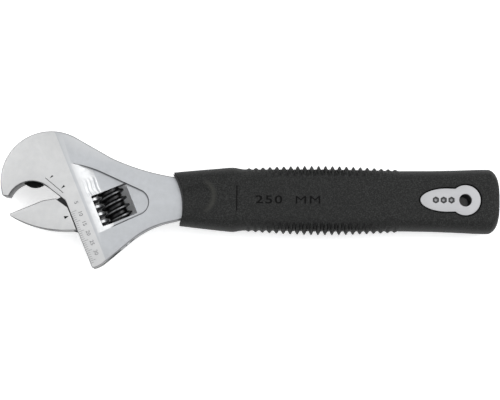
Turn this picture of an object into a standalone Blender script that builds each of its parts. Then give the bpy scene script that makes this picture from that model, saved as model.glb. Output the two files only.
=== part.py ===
"""Adjustable wrench with a hooked fixed jaw, a pointed sliding jaw and a soft two-part grip.

It lies on its back: +X runs along the handle to the hanging hole, +Y towards the crown of the
fixed jaw, +Z out of the marked face. The origin is on the flat back of the grip, at mid length.

The head has its own frame, at the worm's centre and turned by HEAD_ANGLE: u points square to the
jaw's slide, towards the handle, and v points up the slide, towards the fixed jaw. The sliding jaw
closes along +v. Sizes are in millimetres, and MM turns them into Blender's metres.
"""

import math

import bmesh
import bpy
from mathutils import Matrix, Vector

MM = 0.001

# Whole wrench
LENGTH = 250.0
HALF_LENGTH = LENGTH / 2
GRIP_HALF_THICKNESS = 10.5
MID_Z = GRIP_HALF_THICKNESS  # the mid-plane's height over the table
GAP = 0.3  # between pieces that sit in one another

# Head
HEAD_ANGLE = math.radians(22.5)
WORM_CENTRE = (-67.9, -3.3)
HEAD_HALF_THICKNESS = 7.2
ARM_HALF_THICKNESS = 6.2
NECK_HALF_THICKNESS = 5.6
NECK_START_X = -46.0
RECESS_HALF_THICKNESS = 5.1
CROWN_CENTRE = (-99.8, 8.1)
CROWN_RADIUS = 25.15
MOUTH_CENTRE = (-109.2, -4.8)
MOUTH_RADIUS = 12.7
CHIN_CENTRE = (-81.5, -21.8)  # of the head's lowest corner
CHIN_RADIUS = 13.9
NECK_CENTRE = (-29.8, -56.5)  # of the hollow under the neck
NECK_RADIUS = 46.0
BELLY_CENTRE = (-6.9, 48.4)  # of the sliding jaw's lower edge, in the head's frame
BELLY_RADIUS = 55.4
HEX_ANGLE = 60.0  # between the two flats that grip a nut
STRIP_EDGE_U = -22.0  # front edge of the lips that the sliding jaw runs along
RIDGE_U = -14.2  # back edge of the ground strip that carries the scale
RECESS_U = -12.8  # front edge of the finger recess

# Tang inside the grip
TANG_HALF_WIDTH = 8.5
TANG_HALF_THICKNESS = 3.5
TANG_START_X = -28.0
TANG_END_X = 92.0

# Worm, its pin and its spring
PITCH = 4.0
WORM_RADIUS = 7.0
WORM_ROOT_RADIUS = 5.0
WORM_HALF_LENGTH = 7.9
THREAD_CREST = 1.2
THREAD_BASE = 2.3
PIN_RADIUS = 2.0
PIN_HEAD_RADIUS = 2.6
SPRING_SEAT_DEPTH = 3.0
SPRING_SEAT_RADIUS = 3.7
SPRING_RADIUS = 2.95
SPRING_WIRE_RADIUS = 0.35
SPRING_TURNS = 3
WINDOW_U = (-9.4, 9.1)
WINDOW_HALF_V = 8.2

# Sliding jaw
ROD_U = -9.9
ROD_RADIUS = 4.3
ROD_TOP_V = 22.5
ROD_BOTTOM_V = -12.5
CHANNEL_RADIUS = 4.55
CHANNEL_TOP_V = 27.0
WEB_HALF_THICKNESS = 2.3
SLOT_HALF_THICKNESS = 2.6
SLOT_TOP_V = 13.4
SLOT_THROAT_V = 18.0  # the slot runs on into the throat, for the top of the jaw's web
WEB_TOP_V = 14.1
JAW_CLEARANCE = 0.2
RACK_ROOT_U = -7.4
RACK_TOOTH_CLEARANCE = 0.3

# Insert in the roof of the mouth
INSERT_CENTRE = (-108.6, 12.7)
INSERT_RADIUS = 7.4
INSERT_HALF_WIDTH = 5.5
INSERT_TOP_Y = 10.4
INSERT_HALF_THICKNESS = 4.0
INSERT_GAP = 0.15

# Grip
SCOOP_CENTRE = (-67.7, -5.2)
SCOOP_RADIUS = 34.4
CORE_LIP = 0.5
CORE_HALF_WIDTH = 12.2
CORE_HALF_THICKNESS = 7.6
CORE_CORNER = 2.0
CORE_END_X = 119.5
GRIP_CORNER_WIDTH = 6.0
GRIP_SIDE_FLAT = 1.0
RIB_COUNT = 22
RIB_PITCH = 3.5
FIRST_RIB_X = -0.6
RIB_VALLEY_HALF_WIDTH = 15.3
HANG_HOLE_X = 107.5
HANG_HOLE_RADIUS = 3.2
BADGE_RING_RADIUS = 7.7
BADGE_TIP_X = 85.0
BADGE_HALF_WIDTH = 5.9
BADGE_MARGIN = 0.5
BADGE_SINK = 0.2
MARK_X = (91.0, 102.0)
MARK_HALF_WIDTH = 1.5
MARK_DEPTH = 0.8
MARK_GAP = 0.1


# Scene helpers


def clear_scene():
    for old in list(bpy.data.objects):
        bpy.data.objects.remove(old)
    parts = bpy.data.collections.new("adjustable_wrench")
    tools = bpy.data.collections.new("cutters")
    for collection in (parts, tools):
        bpy.context.scene.collection.children.link(collection)
    return parts, tools


def make_material(name, colour, roughness, metallic):
    material = bpy.data.materials.new(name)
    material.use_nodes = True
    shader = material.node_tree.nodes["Principled BSDF"]
    shader.inputs["Base Color"].default_value = (*colour, 1.0)
    shader.inputs["Roughness"].default_value = roughness
    shader.inputs["Metallic"].default_value = metallic
    return material


def place(name, mesh, collection, parent=None):
    piece = bpy.data.objects.new(name, mesh)
    collection.objects.link(piece)
    piece.parent = parent
    return piece


def as_cutter(piece):
    piece.hide_render = True
    piece.display_type = "WIRE"
    return piece


def finish(piece, material):
    piece.data.materials.clear()
    piece.data.materials.append(material)
    return piece


def combine(piece, tool, operation="DIFFERENCE"):
    modifier = piece.modifiers.new(f"{operation.lower()}_{tool.name}", "BOOLEAN")
    modifier.operation = operation
    modifier.object = as_cutter(tool)


# Outlines, as lists of (x, y) in millimetres


def arc(centre, radius, start_deg, end_deg, steps):
    turn = math.radians(end_deg - start_deg) / steps
    angles = [math.radians(start_deg) + turn * i for i in range(steps + 1)]
    return [(centre[0] + radius * math.cos(a), centre[1] + radius * math.sin(a)) for a in angles]


def rounded(corners, steps=4):
    """The closed polygon of (x, y, radius) corners, with an arc of that radius at each."""
    outline = []
    for i, (x, y, radius) in enumerate(corners):
        corner = Vector((x, y))
        back = (Vector(corners[i - 1][:2]) - corner).normalized()
        ahead = (Vector(corners[(i + 1) % len(corners)][:2]) - corner).normalized()
        if radius == 0:
            outline.append((x, y))
            continue
        half = back.angle(ahead) / 2
        centre = corner + (back + ahead).normalized() * radius / math.sin(half)
        first = corner + back * radius / math.tan(half) - centre
        last = corner + ahead * radius / math.tan(half) - centre
        for step in range(steps + 1):
            spoke = first.slerp(last, step / steps).normalized() * radius
            outline.append(tuple(centre + spoke))
    return outline


def on_head(u, v):
    """A point of the head's frame, as (x, y)."""
    c, s = math.cos(HEAD_ANGLE), math.sin(HEAD_ANGLE)
    return WORM_CENTRE[0] + u * c - v * s, WORM_CENTRE[1] + u * s + v * c


# Solids


def slab(name, outline, low, high, collection, parent=None):
    """The outline's plate between two heights, as a mesh object."""
    curve = bpy.data.curves.new(name, "CURVE")
    curve.dimensions = "2D"
    curve.fill_mode = "BOTH"
    curve.extrude = (high - low) / 2 * MM
    spline = curve.splines.new("POLY")
    spline.points.add(len(outline) - 1)
    for point, (x, y) in zip(spline.points, outline):
        point.co = (x * MM, y * MM, 0, 1)
    spline.use_cyclic_u = True
    drawn = place(name + "_outline", curve, collection)
    bpy.context.view_layer.update()
    graph = bpy.context.evaluated_depsgraph_get()
    mesh = bpy.data.meshes.new_from_object(drawn.evaluated_get(graph))
    bpy.data.objects.remove(drawn)
    form = bmesh.new()
    form.from_mesh(mesh)
    bmesh.ops.remove_doubles(form, verts=form.verts, dist=0.00001)
    bmesh.ops.recalc_face_normals(form, faces=form.faces)
    form.to_mesh(mesh)
    form.free()
    piece = place(name, mesh, collection, parent)
    piece.location.z = (low + high) / 2 * MM
    return piece


def rod_mesh(name, radius, start, end, segments=24):
    """A round bar along the local Y axis, between two places on it."""
    form = bmesh.new()
    r, length = radius * MM, (end - start) * MM
    bmesh.ops.create_cone(form, cap_ends=True, segments=segments, radius1=r, radius2=r, depth=length)
    bmesh.ops.rotate(form, verts=form.verts, matrix=Matrix.Rotation(math.pi / 2, 3, "X"))
    bmesh.ops.translate(form, verts=form.verts, vec=(0, (start + end) / 2 * MM, 0))
    mesh = bpy.data.meshes.new(name)
    form.to_mesh(mesh)
    form.free()
    return mesh


def rod(name, radius, start, end, u, collection, parent, segments=24):
    piece = place(name, rod_mesh(name, radius, start, end, segments), collection, parent)
    piece.location = (u * MM, 0, 0)
    return piece


def upright(name, radius, centre, low, high, collection, segments=32):
    """A round bar square to the table."""
    form = bmesh.new()
    r, height = radius * MM, (high - low) * MM
    bmesh.ops.create_cone(form, cap_ends=True, segments=segments, radius1=r, radius2=r, depth=height)
    mesh = bpy.data.meshes.new(name)
    form.to_mesh(mesh)
    form.free()
    piece = place(name, mesh, collection)
    piece.location = (centre[0] * MM, centre[1] * MM, (low + high) / 2 * MM)
    return piece


# Body: fixed jaw, head, neck and tang in one forging


def body_outline():
    facet_dir = math.radians(math.degrees(HEAD_ANGLE) - HEX_ANGLE)
    facet_start = arc(MOUTH_CENTRE, MOUTH_RADIUS, 90 + math.degrees(facet_dir), 90, 1)[0]
    # Where the nut flat's line meets the lips' front edge, and where that edge meets the chin.
    along = Vector((math.cos(facet_dir), math.sin(facet_dir)))
    edge_point = Vector(on_head(STRIP_EDGE_U, 0))
    slide = Vector((math.sin(HEAD_ANGLE), -math.cos(HEAD_ANGLE)))
    throat = crossing(Vector(facet_start), along, edge_point, slide)
    chin_v = (Vector(CHIN_CENTRE) - edge_point).dot(slide)
    off_edge = (Vector(CHIN_CENTRE) - edge_point).dot(slide.orthogonal())
    corner = edge_point + slide * (chin_v + math.sqrt(CHIN_RADIUS**2 - off_edge**2))
    chin = arc(CHIN_CENTRE, CHIN_RADIUS, -72.0, -49.8, 5)
    lips = rounded(
        [
            (*facet_start, 0),
            (*throat, 4.0),
            (*corner, 0.8),
            *((x, y, 0) for x, y in chin),
        ]
    )
    return (
        arc((-21.3, 126.6), 117.0, 261.5, 245.5, 7)
        + arc(CROWN_CENTRE, CROWN_RADIUS, 60.0, 203.0, 28)
        + [(-121.9, -2.1)]
        + arc(MOUTH_CENTRE, MOUTH_RADIUS, 159.0, 90 + math.degrees(facet_dir), 14)[:-1]
        + lips
        + arc(NECK_CENTRE, NECK_RADIUS, 130.2, 100.5, 7)
        + rounded(
            [
                (TANG_START_X, -TANG_HALF_WIDTH, 0),
                (TANG_END_X, -TANG_HALF_WIDTH, 4.0),
                (TANG_END_X, TANG_HALF_WIDTH, 4.0),
                (TANG_START_X, TANG_HALF_WIDTH, 0),
            ]
        )
    )


def crossing(p, p_dir, q, q_dir):
    """Where the line through p along p_dir meets the line through q along q_dir."""
    across = q_dir.orthogonal()
    return p + p_dir * ((q - p).dot(across) / p_dir.dot(across))


def recess_outline():
    """The finger recess round the worm, with a rounded nose towards the handle."""
    nose = arc((-57.3, -2.0), 6.8, -65.0, 65.0, 8)
    brow = arc((-96.0, -36.4), 54.0, 66.0, 86.0, 4)
    return nose + brow + [on_head(RECESS_U, 25.0), on_head(RECESS_U, -10.9)]


def make_body(parts, tools, head, steel):
    half = HEAD_HALF_THICKNESS
    body = slab("body", body_outline(), MID_Z - half, MID_Z + half, parts)
    proud = half + 1.0
    ledge = [on_head(RIDGE_U, 60), on_head(RIDGE_U, -60), on_head(60, -60), on_head(60, 60)]
    tang = [(TANG_START_X, -40), (TANG_END_X + 10, -40), (TANG_END_X + 10, 40), (TANG_START_X, 40)]
    neck = [(NECK_START_X, -40), (-10, -40), (-10, 40), (NECK_START_X, 40)]
    reliefs = (
        ("arm", ledge, ARM_HALF_THICKNESS),
        ("neck", neck, NECK_HALF_THICKNESS),
        ("recess", recess_outline(), RECESS_HALF_THICKNESS),
        ("tang", tang, TANG_HALF_THICKNESS),
    )
    for name, outline, depth in reliefs:
        front = slab(f"{name}_relief_front", outline, MID_Z + depth, MID_Z + proud, tools)
        back = slab(f"{name}_relief_back", outline, MID_Z - proud, MID_Z - depth, tools)
        combine(body, front)
        combine(body, back)
    left, right = WINDOW_U
    high = WINDOW_HALF_V
    window = rounded([(left, -high, 0.6), (right, -high, 0.6), (right, high, 0.6), (left, high, 0.6)], 2)
    combine(body, slab("window_cut", window, -proud, proud, tools, head))
    combine(body, rod("channel_cut", CHANNEL_RADIUS, -60, CHANNEL_TOP_V, ROD_U, tools, head))
    slot = [(ROD_U, -60), (ROD_U, SLOT_TOP_V), (-15, SLOT_TOP_V), (-19, SLOT_THROAT_V)]
    slot += [(-40, SLOT_THROAT_V), (-40, -60)]
    combine(body, slab("slot_cut", slot, -SLOT_HALF_THICKNESS, SLOT_HALF_THICKNESS, tools, head))
    combine(body, rod("pin_tip_cut", PIN_RADIUS + 0.2, 0, 12.8, 0, tools, head, 16))
    combine(body, rod("pin_head_cut", PIN_HEAD_RADIUS + GAP, -60, 0, 0, tools, head, 16))
    combine(body, insert_slab("insert_cut", INSERT_GAP, tools))
    return finish(body, steel)


# Sliding jaw: nose, web and toothed rod in one piece


def nose_outline():
    back_u = STRIP_EDGE_U - JAW_CLEARANCE
    belly = arc(BELLY_CENTRE, BELLY_RADIUS, 218.4, 253.9, 10)
    return [(back_u, 7.3), (-26.0, 13.7), (-32.4, 15.2), (-50.2, 15.2)] + belly


def make_jaw(parts, tools, head, steel):
    jaw = slab("movable_jaw", nose_outline(), -HEAD_HALF_THICKNESS, HEAD_HALF_THICKNESS, parts, head)
    foot = ROD_BOTTOM_V + 1
    web = [(-24.0, -4.6), (-25.9, 13.6), (-22.8, WEB_TOP_V), (-20.0, WEB_TOP_V)]
    web += [(-15.0, 9.0), (ROD_U, 9.0), (ROD_U, foot), (-15.0, foot)]
    combine(jaw, slab("jaw_web", web, -WEB_HALF_THICKNESS, WEB_HALF_THICKNESS, tools, head), "UNION")
    combine(jaw, rod("jaw_rod", ROD_RADIUS, ROD_BOTTOM_V, ROD_TOP_V, ROD_U, tools, head), "UNION")
    lead = math.atan(PITCH / (2 * math.pi * (WORM_RADIUS + WORM_ROOT_RADIUS) / 2))
    root = THREAD_CREST / 2 + RACK_TOOTH_CLEARANCE
    mouth = THREAD_BASE / 2 + RACK_TOOTH_CLEARANCE + 0.3
    groove = [(RACK_ROOT_U, -root), (-4.4, -mouth), (-4.4, mouth), (RACK_ROOT_U, root)]
    first = math.ceil(ROD_BOTTOM_V / PITCH)
    last = math.floor(ROD_TOP_V / PITCH)
    for tooth in range(first, last + 1):
        cut = slab(f"rack_cut_{tooth - first}", groove, -ROD_RADIUS, ROD_RADIUS, tools, head)
        cut.location = (0, tooth * PITCH * MM, 0)
        cut.rotation_euler.x = -lead
        combine(jaw, cut)
    return finish(jaw, steel)


# Worm, pin and spring


def threaded_rod(turns=5, steps_per_turn=24):
    """A long rod with the worm's thread, about the local Z axis, for the blank to be met with."""
    profile = [
        (WORM_ROOT_RADIUS, -PITCH / 2),
        (WORM_ROOT_RADIUS, -THREAD_BASE / 2),
        (WORM_RADIUS, -THREAD_CREST / 2),
        (WORM_RADIUS, THREAD_CREST / 2),
        (WORM_ROOT_RADIUS, THREAD_BASE / 2),
        (WORM_ROOT_RADIUS, PITCH / 2),
    ]
    start = -PITCH * turns / 2
    form = bmesh.new()
    points = [form.verts.new((x * MM, 0, (start + z) * MM)) for x, z in profile]
    edges = [form.edges.new(pair) for pair in zip(points, points[1:])]
    bmesh.ops.spin(
        form,
        geom=points + edges,
        axis=(0, 0, 1),
        cent=(0, 0, 0),
        dvec=(0, 0, PITCH * MM / steps_per_turn),
        angle=2 * math.pi * turns,
        steps=steps_per_turn * turns,
        use_merge=False,
    )
    bmesh.ops.remove_doubles(form, verts=form.verts, dist=0.00001)
    for end in (start, -start):
        hub = form.verts.new((0, 0, end * MM))
        rim = [e for e in form.edges if e.is_boundary and e.verts[0].co.z * end > 0]
        for edge in rim:
            form.faces.new((*edge.verts, hub))
    bmesh.ops.recalc_face_normals(form, faces=form.faces)
    mesh = bpy.data.meshes.new("worm")
    form.to_mesh(mesh)
    form.free()
    return mesh


def lathe(name, profile, collection, parent, segments=24):
    """A turned solid about the local Z axis, from (radius, z) points on a closed profile."""
    form = bmesh.new()
    ring = [form.verts.new((x * MM, 0, z * MM)) for x, z in profile]
    edges = [form.edges.new((ring[i - 1], ring[i])) for i in range(len(ring))]
    whole = 2 * math.pi
    bmesh.ops.spin(form, geom=ring + edges, axis=(0, 0, 1), angle=whole, steps=segments, use_merge=True)
    bmesh.ops.remove_doubles(form, verts=form.verts, dist=0.00001)
    bmesh.ops.recalc_face_normals(form, faces=form.faces)
    mesh = bpy.data.meshes.new(name)
    form.to_mesh(mesh)
    form.free()
    return place(name, mesh, collection, parent)


def make_worm(parts, tools, axis_frame, black_steel):
    """The local Z axis is the worm's axis, pointing down the slide."""
    half = WORM_HALF_LENGTH
    bore = PIN_RADIUS + 0.2
    blank = [
        (bore, -half),
        (WORM_RADIUS - 1.2, -half),
        (WORM_RADIUS + GAP, -half + 0.9),
        (WORM_RADIUS + GAP, half - 0.9),
        (WORM_RADIUS - 1.2, half),
        (SPRING_SEAT_RADIUS, half),
        (SPRING_SEAT_RADIUS, half - SPRING_SEAT_DEPTH),
        (bore, half - SPRING_SEAT_DEPTH),
    ]
    worm = place("worm", threaded_rod(), parts, axis_frame)
    combine(worm, lathe("worm_blank", blank, tools, axis_frame), "INTERSECT")
    return finish(worm, black_steel)


def make_pin(parts, tools, head, steel):
    pin = rod("worm_pin", PIN_RADIUS, -12.0, 12.4, 0, parts, head, 16)
    combine(pin, rod("pin_head", PIN_HEAD_RADIUS, -15.5, -9.4, 0, tools, head, 16), "UNION")
    slot = [(-4, -16.5), (4, -16.5), (4, -14.4), (-4, -14.4)]
    combine(pin, slab("pin_slot", slot, -0.4, 0.4, tools, head))
    return finish(pin, steel)


def make_spring(parts, axis_frame, spring_steel):
    per_turn = 12
    curve = bpy.data.curves.new("worm_spring", "CURVE")
    curve.dimensions = "3D"
    curve.bevel_depth = SPRING_WIRE_RADIUS * MM
    curve.bevel_resolution = 1
    curve.use_fill_caps = True
    spline = curve.splines.new("POLY")
    count = SPRING_TURNS * per_turn
    spline.points.add(count)
    low = WORM_HALF_LENGTH - SPRING_SEAT_DEPTH + SPRING_WIRE_RADIUS + 0.1
    high = WINDOW_HALF_V - SPRING_WIRE_RADIUS - 0.1
    for i, point in enumerate(spline.points):
        angle = 2 * math.pi * i / per_turn
        rise = low + (high - low) * i / count
        point.co = (SPRING_RADIUS * math.cos(angle) * MM, SPRING_RADIUS * math.sin(angle) * MM, rise * MM, 1)
    spring = place("worm_spring", curve, parts, axis_frame)
    return finish(spring, spring_steel)


# Insert in the roof of the mouth


def insert_slab(name, margin, collection):
    reach = math.degrees(math.acos((INSERT_HALF_WIDTH + margin) / (INSERT_RADIUS + margin)))
    outline = arc(INSERT_CENTRE, INSERT_RADIUS + margin, 180 + reach, 360 - reach, 12)
    x = INSERT_CENTRE[0]
    top = INSERT_TOP_Y + margin
    side = INSERT_HALF_WIDTH + margin
    outline += [(x + side, top), (x - side, top)]
    depth = INSERT_HALF_THICKNESS + margin
    return slab(name, outline, MID_Z - depth, MID_Z + depth, collection)


def long_hexagon(margin):
    """The dark mark on the badge: a hexagon drawn out along the handle."""
    left, right = MARK_X
    half = MARK_HALF_WIDTH + margin
    left, right = left - margin, right + margin
    inset = half * math.tan(math.radians(30))
    below = [(left, 0), (left + inset, -half), (right - inset, -half)]
    return below + [(right, 0), (right - inset, half), (left + inset, half)]


# Grip: a hard core on the tang, a soft sleeve over it and a badge on each face


def badge_outline(margin=0.0):
    """A ring round the hanging hole that runs into a long oval leaf."""
    ring = BADGE_RING_RADIUS + margin
    half = BADGE_HALF_WIDTH + margin
    leaf_x = 98.5
    reach = leaf_x - BADGE_TIP_X + margin
    turn = math.degrees(math.asin(half * 0.98 / ring))
    leaf = [(leaf_x + reach * x, half * y) for x, y in arc((0, 0), 1.0, 90, 270, 16)]
    return arc((HANG_HOLE_X, 0), ring, turn - 180, 180 - turn, 24) + leaf


def core_stations(margin):
    """(x, half width, half thickness, corner) of the core's sections, grown by a margin."""
    width, thick = CORE_HALF_WIDTH + margin, CORE_HALF_THICKNESS + margin
    corner = CORE_CORNER + margin
    end = CORE_END_X + margin
    full = (width, thick, corner)
    return [(-45.0, *full), (end - 2.0, *full), (end, width - 2.0, thick - 2.0, corner)]


def core_section(station):
    x, half_width, half_thickness, corner = station
    return x, rounded_section(half_width, half_thickness, corner, corner, 3)


def make_core(parts, tools, hard_plastic):
    core = loft("grip_core", [core_section(station) for station in core_stations(0.0)], parts)
    front = TANG_START_X + 0.8
    neck = [(-60, -16), (-40, -12.0), (front, -8.9), (front, 8.9), (-40, 11.4), (-60, 16)]
    neck_half = NECK_HALF_THICKNESS + GAP
    combine(core, slab("neck_cavity", neck, MID_Z - neck_half, MID_Z + neck_half, tools))
    side = TANG_HALF_WIDTH + GAP
    tang = [(-60, -side), (TANG_END_X + GAP, -side), (TANG_END_X + GAP, side), (-60, side)]
    tang_half = TANG_HALF_THICKNESS + GAP
    combine(core, slab("tang_cavity", tang, MID_Z - tang_half, MID_Z + tang_half, tools))
    combine(core, upright("core_scoop", SCOOP_RADIUS - CORE_LIP, SCOOP_CENTRE, -5, 30, tools, 64))
    combine(core, upright("core_hole", HANG_HOLE_RADIUS, (HANG_HOLE_X, 0), -5, 30, tools))
    return finish(core, hard_plastic)


def rib_height(i):
    return 0.5 + 1.6 * math.sin(math.pi * (i + 0.5) / RIB_COUNT)


def grip_stations():
    """(x, half width, half thickness) of the sleeve's sections, from the neck to the end."""
    thick = GRIP_HALF_THICKNESS
    stations = [(-45.0, 12.8, 9.4), (-24.0, 14.8, 10.1), (-9.0, 16.2, thick), (-3.0, 15.4, thick)]
    for i in range(RIB_COUNT):
        x = FIRST_RIB_X + RIB_PITCH * i
        stations.append((x, RIB_VALLEY_HALF_WIDTH + rib_height(i), thick))
        stations.append((x + RIB_PITCH / 2, RIB_VALLEY_HALF_WIDTH, thick))
    stations += [(82.0, 15.3, thick), (100.0, 15.6, thick), (116.5, 16.2, thick)]
    stations += [(121.0, 15.5, 9.9), (123.4, 13.4, 8.2), (124.6, 10.4, 6.0), (HALF_LENGTH, 9.0, 5.0)]
    return stations


def grip_section(station):
    x, half_width, half_thickness = station
    side_corner = half_thickness - GRIP_SIDE_FLAT
    return x, rounded_section(half_width, half_thickness, min(GRIP_CORNER_WIDTH, half_width / 2), side_corner, 5)


def rounded_section(half_width, half_thickness, corner_width, corner_height, steps):
    """A rectangle with elliptical corners, as (y, z) about the mid-plane, anticlockwise."""
    corner = [(corner_width * x, corner_height * y) for x, y in arc((0, 0), 1.0, 0, 90, steps)]
    y0, z0 = half_width - corner_width, half_thickness - corner_height
    upper = [(y0 + y, z0 + z) for y, z in corner] + [(-y0 - y, z0 + z) for y, z in reversed(corner)]
    return upper + [(-y, -z) for y, z in upper]


def loft(name, sections, collection):
    """A closed solid through sections of (x, outline), because each has its own width and thickness."""
    form = bmesh.new()
    rings = [[form.verts.new((x * MM, y * MM, (MID_Z + z) * MM)) for y, z in outline] for x, outline in sections]
    for near, far in zip(rings, rings[1:]):
        for k in range(len(near)):
            form.faces.new((near[k - 1], near[k], far[k], far[k - 1]))
    form.faces.new(rings[0])
    form.faces.new(rings[-1])
    bmesh.ops.recalc_face_normals(form, faces=form.faces)
    mesh = bpy.data.meshes.new(name)
    form.to_mesh(mesh)
    form.free()
    return place(name, mesh, collection)


def make_sleeve(parts, tools, rubber):
    sleeve = loft("grip_sleeve", [grip_section(station) for station in grip_stations()], parts)
    cavity = [core_section(station) for station in core_stations(GAP)]
    cavity[0] = (-60.0, cavity[0][1])
    combine(sleeve, loft("core_cavity", cavity, tools))
    combine(sleeve, upright("sleeve_scoop", SCOOP_RADIUS, SCOOP_CENTRE, -5, 30, tools, 64))
    combine(sleeve, slab("badge_pocket", badge_outline(BADGE_MARGIN), -5, 30, tools))
    return finish(sleeve, rubber)


def make_badge(name, low, high, parts, tools, pale_plastic):
    badge = slab(name, badge_outline(), low, high, parts)
    combine(badge, upright(f"{name}_hole", HANG_HOLE_RADIUS, (HANG_HOLE_X, 0), -5, 30, tools))
    return finish(badge, pale_plastic)


def main():
    parts, tools = clear_scene()
    chrome = make_material("satin_chrome", (0.62, 0.63, 0.65), 0.35, 1.0)
    black_steel = make_material("black_oxide", (0.03, 0.03, 0.03), 0.4, 0.8)
    bright_steel = make_material("spring_steel", (0.5, 0.5, 0.5), 0.3, 1.0)
    rubber = make_material("soft_rubber", (0.03, 0.032, 0.034), 0.75, 0.0)
    hard_plastic = make_material("hard_plastic", (0.015, 0.015, 0.016), 0.5, 0.0)
    pale_plastic = make_material("pale_plastic", (0.62, 0.62, 0.64), 0.5, 0.0)

    head = bpy.data.objects.new("head_frame", None)
    parts.objects.link(head)
    head.location = (WORM_CENTRE[0] * MM, WORM_CENTRE[1] * MM, MID_Z * MM)
    head.rotation_euler.z = HEAD_ANGLE
    # The worm's own frame: local Z down the slide, local Y out of the marked face.
    axis_frame = bpy.data.objects.new("worm_axis", None)
    parts.objects.link(axis_frame)
    axis_frame.parent = head
    axis_frame.rotation_euler.x = math.pi / 2

    make_body(parts, tools, head, chrome)
    make_jaw(parts, tools, head, chrome)
    make_worm(parts, tools, axis_frame, black_steel)
    make_pin(parts, tools, head, bright_steel)
    make_spring(parts, axis_frame, bright_steel)
    finish(insert_slab("jaw_insert", 0.0, parts), black_steel)
    make_core(parts, tools, hard_plastic)
    make_sleeve(parts, tools, rubber)
    core_face = CORE_HALF_THICKNESS + GAP
    grip_face = GRIP_HALF_THICKNESS - BADGE_SINK
    front = make_badge("badge_front", MID_Z + core_face, MID_Z + grip_face, parts, tools, pale_plastic)
    top = MID_Z + grip_face
    combine(front, slab("mark_pocket", long_hexagon(MARK_GAP), top - MARK_DEPTH - MARK_GAP, top + 1, tools))
    finish(slab("badge_mark", long_hexagon(0.0), top - MARK_DEPTH, top, parts), hard_plastic)
    make_badge("badge_back", MID_Z - grip_face, MID_Z - core_face, parts, tools, pale_plastic)


main()
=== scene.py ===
"""Looks of an adjustable wrench: a forged satin-chrome head, a black worm and a soft ribbed grip.

Shapes are drawn in millimetres in the part's own directions: +X along the handle to the hanging
hole, +Y towards the crown of the fixed jaw, +Z out of the marked face. Until a piece is finished,
its z counts from the wrench's mid-plane. The head has its own frame, at the worm's centre and
turned by HEAD_ANGLE: u points square to the jaw's slide, towards the handle, and v up the slide.
"""

import math

import bmesh
import bpy
from mathutils import Matrix, Vector


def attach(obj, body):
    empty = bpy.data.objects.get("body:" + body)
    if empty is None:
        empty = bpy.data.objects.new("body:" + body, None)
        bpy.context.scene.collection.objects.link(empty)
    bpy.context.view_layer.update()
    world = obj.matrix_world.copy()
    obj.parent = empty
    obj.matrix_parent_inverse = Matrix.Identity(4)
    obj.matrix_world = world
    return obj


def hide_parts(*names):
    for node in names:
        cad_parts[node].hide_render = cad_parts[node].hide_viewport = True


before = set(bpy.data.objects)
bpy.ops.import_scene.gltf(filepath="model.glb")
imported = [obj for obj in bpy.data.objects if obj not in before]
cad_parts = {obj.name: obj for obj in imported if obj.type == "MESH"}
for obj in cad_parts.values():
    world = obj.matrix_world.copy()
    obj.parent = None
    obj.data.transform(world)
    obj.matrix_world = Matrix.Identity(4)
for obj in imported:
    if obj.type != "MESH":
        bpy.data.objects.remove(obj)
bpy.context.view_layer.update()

MM = 0.001
MID_Z = 10.5
FLAT = math.radians(90)

# Head
HEAD_ANGLE = math.radians(22.5)
WORM_CENTRE = (-67.9, -3.3)
FACE = 7.2  # height of the head's ground faces over the mid-plane
RIM = 0.65
RIDGE_U = -14.2
ARM_SURFACE = (  # (u, height) from the ridge to the grip
    (-14.5, 7.22),
    (-11.0, 7.0),
    (-7.0, 6.76),
    (-2.0, 6.5),
    (4.0, 6.27),
    (12.0, 6.07),
    (20.0, 5.88),
    (28.0, 5.7),
    (36.0, 5.62),
    (200.0, 5.6),
)
BACK_CENTRE = (-21.3, 126.6)
BACK_RADIUS = 117.0
CROWN_CENTRE = (-99.8, 8.1)
CROWN_RADIUS = 25.15
HOOK_TIP_CENTRE = (-123.11, 1.42)
HOOK_TIP_RADIUS = 0.9
MOUTH_CENTRE = (-109.2, -4.8)
MOUTH_RADIUS = 12.7
FACET_ANGLE = -37.5
THROAT_RADIUS = 4.0
STRIP_EDGE_U = -22.0
STRIP_CORNER_RADIUS = 0.8
CHIN_CENTRE = (-81.5, -21.8)
CHIN_RADIUS = 13.9
NECK_CENTRE = (-29.8, -56.5)
NECK_RADIUS = 46.0
TANG_X = (-28.0, 92.0)
TANG_HALF_WIDTH = 8.5
TANG_HALF_THICKNESS = 3.5

PAST_FACE = 12.0  # a height beyond any face, for cuts

# Finger recess
RECESS_FLOOR = 4.4
RECESS_NOSE_CENTRE = (-57.3, -2.0)
RECESS_NOSE_RADIUS = 6.8
RECESS_BROW_CENTRE = (-96.0, -36.4)
RECESS_BROW_RADIUS = 54.0
RECESS_END_U = -14.6
RECESS_ENDS_V = (28.5, -10.6)
RECESS_FILLET = 1.1
FLUTE_HEIGHT = 0.09

# Window, rack and slot
WINDOW_U = (-9.4, 9.1)
WINDOW_HALF_V = 8.2
ROD_U = -9.9
ROD_RADIUS = 4.3
CHANNEL_RADIUS = 4.55
SLOT_HALF_WIDTH = 2.6
SLOT_TOP_V = 13.4
SLOT_THROAT_V = 18.0
WEB_HALF_WIDTH = 2.3
INSERT_CENTRE = (-108.6, 12.7)
INSERT_RADIUS = 7.4
INSERT_HALF_LENGTH = 5.5
INSERT_TOP_Y = 10.4
INSERT_HALF_DEPTH = 4.0

# Sliding jaw
BELLY_CENTRE = (-6.9, 48.4)
BELLY_RADIUS = 55.4

# Worm
PITCH = 4.0
WORM_RADIUS = 7.0
WORM_ROOT_RADIUS = 5.0
WORM_HALF_LENGTH = 7.9
THREAD_CREST = 1.2
THREAD_BASE = 2.3
PIN_RADIUS = 2.0
SPRING_SEAT_DEPTH = 3.0

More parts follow.
